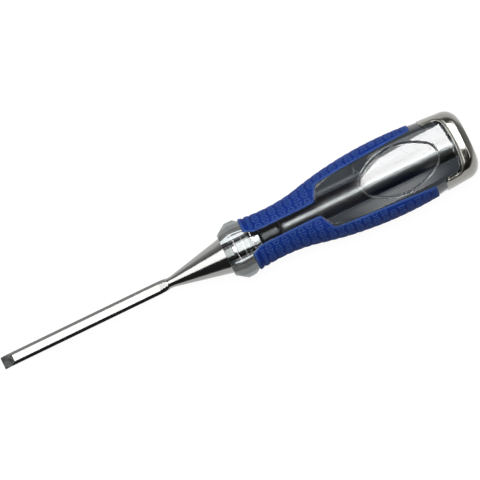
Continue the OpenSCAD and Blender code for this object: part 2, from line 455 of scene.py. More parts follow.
def smoky_core_painted_shade():
    """Clear moulded plastic with a smoky tint, painted shade and painted highlights from the core's tint mark,
    and faint flow lines.
    """
    finish, tree, shader = new_finish("smoky_clear_plastic_painted_shade")
    flow = grain(tree, (30, 140, 140), 3.0)
    smears = grain(tree, (350, 350, 350), 4.0)
    clear = blend(tree, flow, (0.86, 0.93, 0.955, 1), (0.93, 0.98, 0.995, 1))
    smoke_and_shade_tone = blend(tree, flow, (0.0021, 0.0027, 0.0036, 1), (0.0038, 0.0048, 0.0063, 1))
    # Blends clear and dark by the core's mark: the plastic's own smoky tint together with painted shade
    tree.links.new(blend(tree, mark(tree, "smoke_and_shade"), clear, smoke_and_shade_tone), shader.inputs["Base Color"])
    polish = ramp(tree, smears, 0.0, 0.03)
    matt = ramp(tree, smears, 0.28, 0.38)
    tree.links.new(blend(tree, mark(tree, "oval_line"), polish, matt), shader.inputs["Roughness"])
    shader.inputs["IOR"].default_value = 1.49
    shader.inputs["Transmission Weight"].default_value = 1.0
    relief(tree, shader, flow, 0.000004, 0.1)
    return finish


def grip_rubber():
    """Soft moulded grip, blue, paler on what stands proud, with a fine matt grain."""
    finish, tree, shader = new_finish("blue_grip_rubber")
    mottle = grain(tree, (260, 260, 260), 4.0)
    pores = grain(tree, (3500, 3500, 3500), 2.0)
    proud = mark(tree, "proud")
    field = blend(tree, mottle, (0.005, 0.025, 0.20, 1), (0.011, 0.045, 0.285, 1))
    raised = blend(tree, mottle, (0.035, 0.078, 0.29, 1), (0.055, 0.116, 0.39, 1))
    tree.links.new(blend(tree, proud, field, raised), shader.inputs["Base Color"])
    tree.links.new(ramp(tree, pores, 0.52, 0.66), shader.inputs["Roughness"])
    shader.inputs["Specular IOR Level"].default_value = 0.1
    relief(tree, shader, pores, 0.00003, 0.35)
    return finish


# Blade: a bar with a flat between two side bevels, a shoulder, a turned neck and bolster, root and tang


def blade_section(u, a):
    """Distance from the axis to the blade's surface in front of the neck, at angle a."""
    run = max(0.0, (u - BEVEL_END_U) / (NECK_U - BEVEL_END_U))
    end_r = NECK_R + SHOULDER_OVER
    slant = math.atan2(2 * BLADE_HALF_T - LAND_H, BLADE_HALF_W - FLAT_HALF_W)
    bevel = FLAT_HALF_W * math.sin(slant) + BLADE_HALF_T * math.cos(slant)
    faces = [
        (math.pi / 2, BLADE_HALF_T),
        (-math.pi / 2, BLADE_HALF_T),
        (0.0, BLADE_HALF_W),
        (math.pi, BLADE_HALF_W),
        (math.pi / 2 - slant, bevel),
        (math.pi / 2 + slant, bevel),
    ]
    distances = []
    for normal, offset in faces:
        lean = math.cos(a - normal)
        if lean > 0.02:
            distances.append((offset + (end_r - offset) * run) / lean)
    if run > 0:
        distances.append(SHOULDER_R + (NECK_R - SHOULDER_R) * run)
    return min(distances)


def bolster_r(u):
    """Radius of the neck and the bolster."""
    lean = math.atan((BOLSTER_R - NECK_R) / BOLSTER_LEN)
    touch = NECK_ARC * math.tan(lean / 2)
    if u < -BOLSTER_LEN - touch:
        return NECK_R
    if u < -BOLSTER_LEN + touch * math.cos(lean):
        return NECK_R + NECK_ARC - math.sqrt(NECK_ARC**2 - (u + BOLSTER_LEN + touch) ** 2)
    return NECK_R + (u + BOLSTER_LEN) * math.tan(lean)


def make_blade(finish):
    land = math.atan2(LAND_H - BLADE_HALF_T, BLADE_HALF_W)
    flat = math.atan2(BLADE_HALF_T, FLAT_HALF_W)
    back = math.atan2(BLADE_HALF_T, BLADE_HALF_W)
    corners = [land, flat, math.pi - flat, math.pi - land, math.pi + back, -back + 2 * math.pi]
    steps = 12
    angles = []
    for corner, following in zip(corners, corners[1:] + [corners[0] + 2 * math.pi]):
        angles += [corner + (following - corner) * i / steps for i in range(steps)]

    def ring(u):
        return [polar(u, blade_section(u, a), a) for a in angles]

    def turned(u, r, square=2.0):
        """A round of radius r, or a squarer one."""
        found = []
        for a in angles:
            d = r * (abs(math.cos(a)) ** square + abs(math.sin(a)) ** square) ** (-1 / square)
            found.append(polar(u, d, a))
        return found

    tip = []
    for _, y, h in ring(-BLADE_LEN):
        tip.append((-BLADE_LEN + (h + BLADE_HALF_T) / math.tan(EDGE_ANGLE), y, h))
    step_end = ROOT_LEN + ROOT_STEP
    tang_end = TANG_LEN - 0.1
    inside = (
        (0.3, ROOT_R + 0.4),
        (0.7, ROOT_R),
        (0.9, ROOT_R),
        (ROOT_LEN - 0.6, ROOT_R),
        (ROOT_LEN - 0.4, ROOT_R),
        (ROOT_LEN, ROOT_R - 0.2),
        (step_end, TANG_R + 0.1),
        (step_end + 0.3, TANG_R),
        (step_end + 0.5, TANG_R),
        (TANG_LEN - 1.2, TANG_R),
        (TANG_LEN - 1.0, TANG_R),
        (TANG_LEN - 0.4, TANG_R - 0.3),
        (tang_end, TANG_R - 0.9),
    )
    rings = [tip]
    rings += [ring(u) for u in spread(-110.0, (BEVEL_END_U, 12), (NECK_U, 12))]
    rings += [turned(u, bolster_r(u)) for u in spread(-29.9, (-27.0, 12), (0.0, 10))]
    rings.append(turned(0.25, BOLSTER_R))
    rings += [turned(u, r, ROOT_SQUARE) for u, r in inside]
    points, faces = loft(rings, "flat", (tang_end, 0.0, 0.0))
    made = piece("chisel_blade", points, faces, finish, 22)
    level = math.cos(EDGE_ANGLE)
    tang_x = (ROOT_LEN + FRONT_X) * MM
    bevel = [f.normal.x < -0.3 and abs(f.normal.z - level) < 0.02 for f in made.data.polygons]
    tang = [f.center.x > tang_x for f in made.data.polygons]
    for label, shares in (("ground_bevel", bevel), ("forged_tang", tang)):
        carry(made, label, [float(share) for share in shares], "FACE")
    return made


# Strike rod from the tang's end to its seat in the cap


def make_rod(finish):
    outline = [
        (TANG_LEN + 0.2, 2.6),
        (TANG_LEN + 0.3, ROD_R - 1.4),
        (TANG_LEN + 0.7, ROD_R - 0.9),
        (TANG_LEN + 1.5, ROD_R - 0.15),
        (TANG_LEN + 1.9, ROD_R),
    ]
    outline += [(u, ROD_R) for u in spread(TANG_LEN + 4.0, (ROD_END_U - 2.0, 8))]
    outline += [(ROD_END_U - 0.3, ROD_R), (ROD_END_U, ROD_R - 0.3)]
    turn = [2 * math.pi * i / ROD_SIDES for i in range(ROD_SIDES)]
    rings = [[polar(u, r, a) for a in turn] for u, r in outline]
    points, faces = loft(rings, (TANG_LEN + 0.2, 0.0, 0.0), (ROD_END_U, 0.0, 0.0))
    return piece("strike_rod_steel", points, faces, finish)


# Clear core: six-sided collar, channel, domed window and the bare oval in the upper face


def inside_oval(u, y):
    """Distance from the oval's outline, positive inside it."""
    along, across = abs(u - OVAL_U), abs(y)
    centre = OVAL_HALF_L - OVAL_END_R
    side_r = (centre**2 + OVAL_HALF_W**2 - OVAL_END_R**2) / (2 * OVAL_HALF_W - 2 * OVAL_END_R)
    drop = side_r - OVAL_HALF_W
    if (across + drop) * centre < drop * along:
        return OVAL_END_R - math.hypot(along - centre, across)
    return side_r - math.hypot(along, across + drop)


def oval_depth(u, y):
    """How far the oval's outline groove and sloped floor lie below the upper face."""
    inside = inside_oval(u, y)
    groove = max(0.0, 1 - (inside / OVAL_GROOVE_W) ** 2) ** 2
    return OVAL_GROOVE_DEPTH * groove + OVAL_FLOOR_DEPTH * smooth(*OVAL_SLOPE, inside)


def collar_h(u):
    """Half height of the collar's flats, with soft edges between its slopes."""
    stops = (
        (0.0, COLLAR_FRONT_H),
        (COLLAR_SLOPE, HALF_H),
        (COLLAR_FLAT_U, COLLAR_FLAT_H),
        (COLLAR_END_U, COLLAR_BACK_H),
    )
    samples, pitch = 9, 0.1
    total = 0.0
    for i in range(samples):
        spot = min(COLLAR_END_U, max(0.0, u + pitch * (i - samples // 2)))
        for (u0, h0), (u1, h1) in zip(stops, stops[1:]):
            if u0 <= spot <= u1:
                total += h0 + (h1 - h0) * (spot - u0) / (u1 - u0)
                break
    return total / samples


def core_h(u):
    """Half height of the core behind the collar: level channel, step up to the crowned window."""
    arc = WINDOW_CROWN_ARC if u < BELLY_U else REAR_CROWN_ARC
    window = WINDOW_H - (u - BELLY_U) ** 2 / (2 * arc)
    channel = COLLAR_BACK_H
    channel += (CHANNEL_H - COLLAR_BACK_H) * smooth(COLLAR_END_U, COLLAR_END_U + COLLAR_FADE, u)
    return channel + (window - channel) * smooth(WINDOW_U - WINDOW_STEP, WINDOW_U + WINDOW_STEP, u)


def rim_dip(u, y):
    """How far the core's faces fall just in front of the cap's rim."""
    return RIM_DIP * smooth(*RIM_DIP_U, u - RIM_U + y**2 / (2 * RIM_ARC))


def collar_section(u, a):
    """Distance from the axis to the six-sided collar, a hexagon cut from two cones."""
    if u < COLLAR_SLOPE:
        cone = COLLAR_FRONT_R + (COLLAR_R - COLLAR_FRONT_R) * u / COLLAR_SLOPE
    elif u < COLLAR_FLAT_U:
        cone = COLLAR_R
    else:
        cone = COLLAR_R + (COLLAR_BACK_R - COLLAR_R) * (u - COLLAR_FLAT_U) / (COLLAR_END_U - COLLAR_FLAT_U)
    cone += (COLLAR_OVER_R - cone) * smooth(*COLLAR_OVER_RISE, abs(math.sin(a)))
    leans = [math.cos(a - k * math.pi / 3 - math.pi / 6) for k in range(6)]
    flats = [collar_h(u) / lean for lean in leans if lean > 0.3]
    return soft_least([cone] + flats, CORE_SHARPNESS)


def core_section(u, a):
    """Distance from the axis to the core's surface."""
    if u < COLLAR_END_U:
        return collar_section(u, a)
    seat = PAD_SEAT + (PAD_PROUD - PAD_SEAT) * smooth(*PAD_SEAT_U, u)
    r = min(body_r(u) - seat, COLLAR_BACK_R + max(0.0, u - WAIST_U))
    h = core_h(u)
    whole = section(r, h, a)
    window = face = domed_face(h, a)
    if u > WINDOW_U:
        rim = WINDOW_RIM + (PAD_PROUD - WINDOW_RIM) * smooth(*WINDOW_RIM_U, u)
        window = soft_least((body_r(u) - rim, face), CORE_SHARPNESS)
    edge = pad_edge_y(u)
    under_grip = smooth(edge, edge + PAD_TUCK * edge_lean(u), face * abs(math.cos(a)))
    return window + (whole - window) * under_grip * (1 - smooth(*PAD_LEAVE_U, u))


def make_core(finish):
    step, fan_h, fan_half_w = 0.21, 12.4, 13.65
    upper = [math.atan2(fan_h, fan_half_w - i * step) for i in range(int(2 * fan_half_w / step) + 1)]
    first = upper[0]
    side = [math.radians(x) for x in (0, 0.8, 1.6, 2.4, 3.4, 5, 7.5)]
    side += [math.radians(10 + (math.degrees(first) - 10) * i / 12) for i in range(12)]
    other = [math.pi - a for a in reversed(side)]
    lower = [math.pi + a for a in side[1:]]
    under = [math.pi + first + (math.pi - 2 * first) * i / 40 for i in range(41)]
    back = [2 * math.pi - a for a in reversed(side[1:])]
    angles = side + upper + other + lower + under + back
    places = spread(
        0.0, (CORE_CHAMFER, 1), (0.5, 2), (4.9, 10), (5.9, 6), (8.9, 6), (9.9, 6), (11.3, 4), (COLLAR_END_U, 3)
    )
    places += spread(
        12.0, (15.0, 10), (47.2, 26), (48.8, 14), (53.2, 22), (68.6, 22), (111.6, 205), (116.0, 11),
        (119.0, 18), (CAP_FLOOR_U + 0.3, 5)
    )

    def ring(u):
        found = []
        for a in angles:
            d = core_section(u, a)
            if OVAL_REACH_U[0] < u < OVAL_REACH_U[1] and math.sin(a) > 0.5:
                d -= oval_depth(u, d * math.cos(a)) / math.sin(a)
            d -= rim_dip(u, d * math.cos(a))
            if u < CORE_CHAMFER:
                d -= CORE_CHAMFER
            found.append(polar(u, d, a))
        return found

    bore = (
        (places[-1], ROD_R - 0.2),
        (TANG_LEN + 2.2, ROD_R - 0.2),
        (TANG_LEN + 0.5, TANG_R - 0.6),
        (ROOT_LEN + ROOT_STEP - 0.2, TANG_R - 0.2),
        (ROOT_LEN - 0.3, ROOT_R - 0.4),
        (1.0, ROOT_R - 0.2),
        (0.0, ROOT_R - 0.2),
    )
    rings = [[polar(u, r, a) for a in angles] for u, r in bore]
    rings += [ring(u) for u in places]
    rings.append(rings[0])
    points, faces = loft(rings)
    made = piece("clear_core", points, faces, finish, 50)
    # Marks each point with its tint and painted shade, and the matt line round the oval
    for label, value_at in (("smoke_and_shade", tint_and_painted_shade), ("oval_line", oval_line)):
        carry(made, label, [value_at(v.co / MM) for v in made.data.vertices])
    return made


def oval_line(spot):
    """1 on the matt line round the oval in the upper face."""
    if spot.z < AXIS_Z + HALF_H / 2:
        return 0.0
    return 1 - smooth(*OVAL_LINE, abs(inside_oval(spot.x - FRONT_X, spot.y)))


def tint_and_painted_shade(spot):
    """Depth of the core's tint, partly painted: the plastic's own smoke, painted shade under the handle, on the
    collar's facets and by the gap, and the collar's edges left clear as painted highlights.
    """
    u, y, h = spot.x - FRONT_X, spot.y, spot.z - AXIS_Z
    a, r = math.atan2(h, y), math.hypot(y, h)
    # Painted shade on the collar's lower facet outside a clear middle strip; its upper facet stays clear
    if math.pi / 3 < abs(a) < 2 * math.pi / 3:
        collar = COLLAR_UNDER_SHADE * (1 - smooth(*COLLAR_UNDER_SHADE_Y, abs(y))) if h < 0 else 0.0
    else:
        # Painted shade on the collar's side facets, left clear along their edges as painted highlights
        edge = min(abs(r * math.sin(a - k * math.pi / 3)) for k in range(3))
        collar = FACET_SHADE * smooth(*FACET_SHADE_CLEAR_EDGE, edge)
    # The body's own smoky tint on top, with painted shade darkening to full below the middle
    body = TOP_SMOKE + (1 - TOP_SMOKE) * (1 - smooth(*SHADE_H, h))
    # Painted shade on the lower sides by the gap in front of the cap
    gap = smooth(*GAP_SHADE_U, u) * smooth(*GAP_SHADE_Y, abs(y)) * (1 - smooth(*GAP_SHADE_H, h))
    body += (1 - body) * gap
    return collar + (body - collar) * smooth(*SMOKE_U, u)


# Soft grips: shells round the handle's sides with a smooth raised border and an embossed field


def pad_edge_y(u):
    """Distance of a pad's edge from the middle plane, seen from above."""

    def line(u0, y0, u1, y1):
        return y0 + (y1 - y0) * (u - u0) / (u1 - u0)

    def softly(a, b, side, corner):
        """The greater of two lines where side is 1, the lesser where it is -1, with a rounded corner."""
        return (a + b + side * math.hypot(a - b, PAD_SOFT[corner])) / 2

    nose = line(COLLAR_END_U, PAD_NOSE_Y, PAD_NOSE_U, CHANNEL_Y)
    slant = line(WINDOW_U, CHANNEL_Y, WINDOW_CORNER_U, WINDOW_FRONT_Y)
    strip = line(WINDOW_CORNER_U, WINDOW_FRONT_Y, PAD_END_U, WINDOW_BACK_Y)
    window = softly(slant, strip, -1, "corner")
    return softly(softly(nose, CHANNEL_Y, 1, "nose"), window, 1, "window")


def edge_lean(u):
    """Length across the tool for each length square to a pad's edge."""
    near = 0.05
    return math.hypot(1.0, (pad_edge_y(u + near) - pad_edge_y(u - near)) / (2 * near))


def rounded_edge(distance):
    """How far a grip's skin falls at a distance from its edge."""
    if distance >= PAD_EDGE:
        return 0.0
    return PAD_EDGE - math.sqrt(PAD_EDGE**2 - (PAD_EDGE - distance) ** 2)


def cross_groove(u):
    """Depth of the two grooves round a grip's front end."""
    return sum(GROOVE_DEPTH * math.exp(-(((u - place) / GROOVE_W) ** 2)) for place in GROOVES_U)


def run_lengths(spots):
    """Lengths along a line of points, from its first point to each of them."""
    lengths = [0.0]
    for p, q in zip(spots, spots[1:]):
        lengths.append(lengths[-1] + math.dist(p, q))
    return lengths


def make_grip(name, side, finish):
    margins = (0.0, 0.06, 0.18, 0.36, 0.56, PAD_EDGE, PAD_BORDER, 1.2, PAD_FIELD)
    inner_steps, arc_steps = 16, 80
    places = spread(
        COLLAR_END_U, (11.95, 2), (12.55, 5), (19.0, 32), (46.6, 46), (54.0, 40), (100.7, 70), (101.85, 6),
        (102.45, 5), (PAD_END_U, 2)
    )
    rings, wrap, proud, outside = [], [], [], []
    for u in places:
        top = angle_at(u, pad_edge_y(u))
        fine = [top * i / arc_steps for i in range(arc_steps + 1)]
        lengths = run_lengths([skin(u, a, 0.0) for a in fine])
        reach = lengths[-1]
        channel = angle_at(u, CHANNEL_Y)
        to_channel = run_lengths([skin(u, channel * i / arc_steps, 0.0) for i in range(arc_steps + 1)])[-1]
        inner_share = angle_at(u, pad_edge_y(u), PAD_T) / top
        lean = edge_lean(u)
        nearest = margins[-1] * lean
        found = [m * lean for m in margins]
        found += [nearest + (reach - nearest) * (i + 1) / inner_steps for i in range(inner_steps)]
        to_end = min(u - COLLAR_END_U, PAD_END_U - u)
        half = []
        for back in found:
            v = reach - back
            k = next((i for i in range(arc_steps) if lengths[i + 1] >= v), arc_steps - 1)
            share = (v - lengths[k]) / max(1e-9, lengths[k + 1] - lengths[k])
            a = fine[k] + (fine[k + 1] - fine[k]) * share
            field = smooth(PAD_BORDER, PAD_FIELD, min(back / lean, to_end))
            inset = rounded_edge(back / lean) + rounded_edge(to_end)
            inset = min(PAD_DEEPEST, inset + PAD_FIELD_DEPTH * field + cross_groove(u))
            upright = angle_at(u, skin(u, a, 0.0)[1], inset) if back <= nearest else a
            half.append((upright, a * inner_share, inset, v, 1.0 - field))
        outer = half + [(-a, -b, inset, -v, border) for a, b, inset, v, border in reversed(half[:-1])]
        ring = [skin(u, a, inset) for a, _, inset, _, _ in outer]
        ring += [skin(u, b, PAD_T) for _, b, _, _, _ in reversed(outer)]
        rings.append([(p[0], p[1] * side, p[2]) for p in ring])
        inner = len(outer)
        wrap += [(u / WRAP_UNIT, (to_channel - abs(v)) / WRAP_UNIT) for _, _, _, v, _ in outer]
        wrap += [(-1.0, -1.0)] * inner
        proud += [border for *_, border in outer] + [0.0] * inner
        outside += [1.0] * len(half) + [2.0] * (len(half) - 1) + [0.0] * inner
    count = len(rings[0])
    points, faces = loft(rings)
    for first in (0, (len(rings) - 1) * count):
        for j in range(count // 2 - 1):
            faces.append((first + j, first + j + 1, first + count - 2 - j, first + count - 1 - j))
    made = piece(name, points, faces, finish, 50, None)
    values = made.data.attributes.new("wrap", "FLOAT_VECTOR", "POINT")
    values.data.foreach_set("vector", [x for u, v in wrap for x in (u, v, 0.0)])
    carry(made, "proud", proud)
    carry(made, "outside", outside)
    return made


def emboss_shape(name, points, faces):
    """One raised shape of the grips' field, in metres, lying in the XY plane."""
    mesh = bpy.data.meshes.new(name)
    mesh.from_pydata([Vector(p) * MM for p in points], [], faces)
    square_up(mesh, 1e-8)
    return show(name, mesh)


def emboss_frame():
    """A raised frame with four sides, one end wider than the other."""
    height, sunk, wide, narrow, half = 0.13, 0.2, 1.95, 1.05, 1.08
    side_inset = 1.25

    def outline(inset, z):
        lean = (wide - narrow) / (2 * half)
        corners = []
        for y, sign in ((-half + inset, 1), (half - inset, -1)):
            x = wide - lean * (y + half) - inset * side_inset
            corners += [(-sign * x, y, z), (sign * x, y, z)]
        return corners

    rings = [outline(0.0, -sunk), outline(0.14, height), outline(0.5, height), outline(0.62, -sunk)]
    rings.append(rings[0])
    return emboss_shape("emboss_frame", *loft(rings))


def emboss_bar():
    """A short raised bar."""
    height, sunk, long, thick = 0.16, 0.2, 0.95, 0.32

    def outline(inset, z):
        x, y = long - inset, thick - inset
        return [(-x, -y, z), (x, -y, z), (x, y, z), (-x, y, z)]

    return emboss_shape("emboss_bar", *loft([outline(0.0, -sunk), outline(0.1, height)], "flat", "flat"))


def embossed_rows():
    """Node tree that lays rows of raised frames on a grip, every second one turned round."""
    tree = bpy.data.node_groups.new("embossed_rows", "GeometryNodeTree")
    for name, kind in (
        ("Grip", "NodeSocketGeometry"),
        ("Frame", "NodeSocketObject"),
        ("Column Pitch", "NodeSocketFloat"),
        ("Row Pitch", "NodeSocketFloat"),
        ("Columns", "NodeSocketInt"),
        ("Rows", "NodeSocketInt"),
        ("First Column", "NodeSocketFloat"),
        ("First Row", "NodeSocketFloat"),
        ("Half", "NodeSocketFloat"),
        ("Finish", "NodeSocketMaterial"),
    ):
        tree.interface.new_socket(name=name, in_out="INPUT", socket_type=kind)
    tree.interface.new_socket(name="Grip", in_out="OUTPUT", socket_type="NodeSocketGeometry")
    sizes = add(tree, "NodeGroupInput").outputs
    result = add(tree, "NodeGroupOutput")
    calc = maths(tree)

    def sampled(kind, value):
        """A value of the grip at a spot of its wrap, and whether there is one."""
        node = add(tree, "GeometryNodeSampleUVSurface", data_type=kind)
        sockets = [s for s in node.inputs if s.enabled]
        for socket, source in zip(sockets, (face, value, wrap, spot)):
            tree.links.new(source, socket)
        found = [s for s in node.outputs if s.enabled]
        return found[0], found[1]

    def kept(geometry, kind, value):
        """The geometry with a value that stays with its points."""
        node = add(tree, "GeometryNodeCaptureAttribute")
        node.capture_items.new(kind, "value")
        tree.links.new(geometry, node.inputs["Geometry"])
        tree.links.new(value, node.inputs[1])
        return node.outputs["Geometry"], node.outputs[1]

    def carried(label, kind):
        return add(tree, "GeometryNodeInputNamedAttribute", {"Name": label}, data_type=kind).outputs[0]

    wrap = carried("wrap", "FLOAT_VECTOR")
    border = carried("proud", "FLOAT")
    outside = carried("outside", "FLOAT")
    other = add(
        tree,
        "FunctionNodeCompare",
        {"A": outside, "B": sizes["Half"], "Epsilon": 0.1},
        data_type="FLOAT",
        operation="NOT_EQUAL",
    )
    face = add(
        tree,
        "GeometryNodeDeleteGeometry",
        {"Geometry": sizes["Grip"], "Selection": other.outputs[0]},
        domain="POINT",
    ).outputs[0]
    place = add(tree, "GeometryNodeInputPosition").outputs[0]
    normal = add(tree, "GeometryNodeInputNormal").outputs[0]
    index = add(tree, "GeometryNodeInputIndex").outputs[0]

    length = calc("MULTIPLY", sizes["Column Pitch"], calc("SUBTRACT", sizes["Columns"], 1))
    width = calc("MULTIPLY", sizes["Row Pitch"], calc("SUBTRACT", sizes["Rows"], 1))
    grid = add(
        tree,
        "GeometryNodeMeshGrid",
        {"Size X": length, "Size Y": width, "Vertices X": sizes["Columns"], "Vertices Y": sizes["Rows"]},
    )
    shift = add(
        tree,
        "ShaderNodeCombineXYZ",
        {
            "X": calc("ADD", sizes["First Column"], calc("DIVIDE", length, 2.0)),
            "Y": calc("ADD", sizes["First Row"], calc("DIVIDE", width, 2.0)),
        },
    )
    spot = add(tree, "ShaderNodeVectorMath", {0: place, 1: shift.outputs[0]}, operation="ADD").outputs[0]
    spots, seat = kept(grid.outputs["Mesh"], "VECTOR", sampled("FLOAT_VECTOR", place)[0])
    spots, facing = kept(spots, "VECTOR", sampled("FLOAT_VECTOR", normal)[0])
    edge, there = sampled("FLOAT", border)
    bare = add(tree, "FunctionNodeBooleanMath", {0: there}, operation="NOT").outputs[0]
    near = add(tree, "FunctionNodeCompare", {0: edge, 1: 0.02}, data_type="FLOAT", operation="GREATER_THAN")
    off = add(tree, "FunctionNodeBooleanMath", {0: bare, 1: near.outputs[0]}, operation="OR").outputs[0]
    row = calc("MODULO", index, sizes["Rows"])
    column = calc("FLOOR", calc("DIVIDE", index, sizes["Rows"]), 0)
    turned = calc("MODULO", calc("ADD", row, column), 2.0)
    spots, turned = kept(spots, "FLOAT", turned)
    spots = add(
        tree, "GeometryNodeDeleteGeometry", {"Geometry": spots, "Selection": off}, domain="POINT"
    ).outputs[0]
    spots = add(tree, "GeometryNodeSetPosition", {"Geometry": spots, "Position": seat}).outputs[0]
    upright = add(tree, "FunctionNodeAlignRotationToVector", {"Vector": facing}, axis="Z").outputs[0]
    along = add(
        tree,
        "FunctionNodeAlignRotationToVector",
        {"Rotation": upright, "Vector": (1.0, 0.0, 0.0)},
        axis="X",
        pivot_axis="Z",
    ).outputs[0]
    half_turn = add(
        tree, "FunctionNodeAxisAngleToRotation", {"Axis": (0, 0, 1), "Angle": calc("MULTIPLY", turned, math.pi)}
    ).outputs[0]
    facing_way = add(
        tree, "FunctionNodeRotateRotation", {"Rotation": along, "Rotate By": half_turn}, rotation_space="LOCAL"
    ).outputs[0]
    shape = add(tree, "GeometryNodeObjectInfo", {"Object": sizes["Frame"]}).outputs["Geometry"]
    frames = add(
        tree, "GeometryNodeInstanceOnPoints", {"Points": spots, "Instance": shape, "Rotation": facing_way}
    ).outputs[0]
    frames = add(tree, "GeometryNodeRealizeInstances", {"Geometry": frames}).outputs[0]
    frames = add(
        tree, "GeometryNodeStoreNamedAttribute", {"Geometry": frames, "Name": "proud", "Value": 1.0},
        data_type="FLOAT", domain="POINT"
    ).outputs[0]
    joined = add(tree, "GeometryNodeJoinGeometry")
    tree.links.new(frames, joined.inputs[0])
    tree.links.new(sizes["Grip"], joined.inputs[0])
    painted = add(
        tree, "GeometryNodeSetMaterial", {"Geometry": joined.outputs[0], "Material": sizes["Finish"]}
    )
    tree.links.new(painted.outputs[0], result.inputs[0])
    return tree


def emboss(grip, tree, finish, values):
    """Runs the rows over a grip's upper and lower half and keeps the result as its plain mesh."""
    for half in (1.0, 2.0):
        rows = grip.modifiers.new("rows", "NODES")
        rows.node_group = tree
        given = dict(values, Half=half, Finish=finish)
        for socket in tree.interface.items_tree:
            if socket.in_out == "INPUT" and socket.name in given:
                rows[socket.identifier] = given[socket.name]
        graph = bpy.context.evaluated_depsgraph_get()
        mesh = bpy.data.meshes.new_from_object(grip.evaluated_get(graph))
        grip.modifiers.remove(rows)
        grip.data = mesh


# Strike cap: a cup over the butt with two wings along the sides, open above and below


def cap_edge():
    """Quarter of the cap's front edge, from a wing's middle to the middle of the upper opening."""
    corner_y = RIM_HALF_W - RIM_CORNER_R
    corner_u = RIM_U - RIM_ARC + math.sqrt((RIM_ARC - RIM_CORNER_R) ** 2 - corner_y**2)
    lean = math.asin(corner_y / (RIM_ARC - RIM_CORNER_R))
    tip_r = WING_CORNER_R
    start = angle_at(WING_U, RIM_HALF_W + tip_r)
    edge = [(WING_U, start * i / 12) for i in range(12)]
    for i in range(7):
        t = math.pi / 2 * i / 6
        u = WING_U + tip_r * (1 - math.cos(t))
        edge.append((u, angle_at(u, RIM_HALF_W + tip_r * (1 - math.sin(t)))))
    for u in spread(WING_U + tip_r, (corner_u, 8))[1:]:
        edge.append((u, angle_at(u, RIM_HALF_W)))
    for i in range(1, 10):
        t = math.pi / 2 + (lean - math.pi / 2) * i / 9
        u = corner_u + RIM_CORNER_R * math.cos(t)
        edge.append((u, angle_at(u, corner_y + RIM_CORNER_R * math.sin(t))))
    for i in range(1, 9):
        t = lean * (1 - i / 8)
        u = RIM_U - RIM_ARC + RIM_ARC * math.cos(t)
        edge.append((u, angle_at(u, RIM_ARC * math.sin(t)) if i < 8 else math.pi / 2))
    return edge


def make_cap(finish):
    edge = cap_edge()
    run = run_lengths([skin(u, a, 0.0) for u, a in edge])
    quarter = [(u, a, math.pi / 2 * r / run[-1]) for (u, a), r in zip(edge, run)]
    half = quarter[:-1] + [(u, math.pi - a, math.pi - e) for u, a, e in reversed(quarter[1:])]
    whole = half + [(u, math.pi + a, math.pi + e) for u, a, e in half]

    def lip(distance):
        """The front edge, moved into the cap."""
        found = []
        for i, (u, a, e) in enumerate(whole):
            before, after = whole[i - 1], whole[(i + 1) % len(whole)]
            r = math.hypot(*skin(u, a, 0.0)[1:])
            along = after[0] - before[0]
            turn = ((after[1] - before[1] + math.pi) % (2 * math.pi) - math.pi) * r
            size = math.hypot(along, turn)
            found.append((u + distance * turn / size, a - distance * along / size / r, e))
        return found

    def ring(line, share, end_u, inset):
        """A front edge moved by its share of the way to end_u, drawn in by inset."""
        return [skin(u + (end_u - u) * share, a + (e - a) * share**1.5, inset) for u, a, e in line]

    def shrunk(points, share, u):
        """A ring at u, drawn in towards the axis."""
        return [(u, y * share, h * share) for _, y, h in points]

    # The rolled lip, as distances into the cap and depths below the skin
    rolled = (
        (0.0, 0.35), (0.05, 0.13), (0.17, -0.02), (0.36, -0.11), (0.56, -0.11), (0.76, -0.02), (0.9, 0.1),
        (1.0, 0.2), (1.1, 0.24), (1.2, 0.2), (1.32, 0.1), (1.46, 0.03), (1.65, 0.0)
    )
    floor = ring(whole, 1.0, CAP_FLOOR_U, CAP_WALL)
    rings = [shrunk(floor, 0.3, CAP_FLOOR_U), floor]
    rings += [ring(whole, share, CAP_FLOOR_U, CAP_WALL) for share in (0.75, 0.5, 0.25, 0.08, 0.0)]
    rings += [ring(whole, 0.0, HANDLE_LEN, inset) for inset in (1.2, 0.8, 0.55)]
    rings += [ring(lip(distance), 0.0, HANDLE_LEN, inset) for distance, inset in rolled]
    steps = 36
    start = lip(rolled[-1][0])
    rings += [ring(start, 1 - (1 - i / steps) ** 2, HANDLE_LEN, 0.0) for i in range(1, steps + 1)]
    last = rings[-1]
    rings += [shrunk(last, share, HANDLE_LEN) for share in (0.97, 0.8, 0.5, 0.2)]
    points, faces = loft(rings, (CAP_FLOOR_U, 0.0, 0.0), (HANDLE_LEN, 0.0, 0.0))
    return piece("strike_cap_steel", points, faces, finish, 50)


# Stage: floor, studio light and camera


def make_floor():
    """White paper just under the tool: it glows where it is seen, and its lit share keeps the tool's shadow."""
    tone, lift, reach, drop = 0.12, 0.94, 6.0, -0.0002
    finish = bpy.data.materials.new("pale_floor")
    finish.use_nodes = True
    tree = finish.node_tree
    tree.nodes.clear()
    calc = maths(tree)
    out = add(tree, "ShaderNodeOutputMaterial")
    paper = add(tree, "ShaderNodeBsdfDiffuse", {"Color": (tone, tone, tone, 1)})
    path = add(tree, "ShaderNodeLightPath").outputs
    seen = calc("MAXIMUM", path["Is Camera Ray"], path["Is Glossy Ray"])
    seen = calc("MAXIMUM", seen, path["Is Transmission Ray"])
    glow = add(tree, "ShaderNodeEmission", {"Strength": calc("MULTIPLY", seen, lift)})
    both = add(tree, "ShaderNodeAddShader", {0: paper.outputs[0], 1: glow.outputs[0]})
    tree.links.new(both.outputs[0], out.inputs["Surface"])
    mesh = bpy.data.meshes.new("floor")
    mesh.from_pydata(
        [(-reach, -reach, drop), (reach, -reach, drop), (reach, reach, drop), (-reach, reach, drop)],
        [],
        [(0, 1, 2, 3)],
    )
    mesh.materials.append(finish)
    show("floor", mesh)


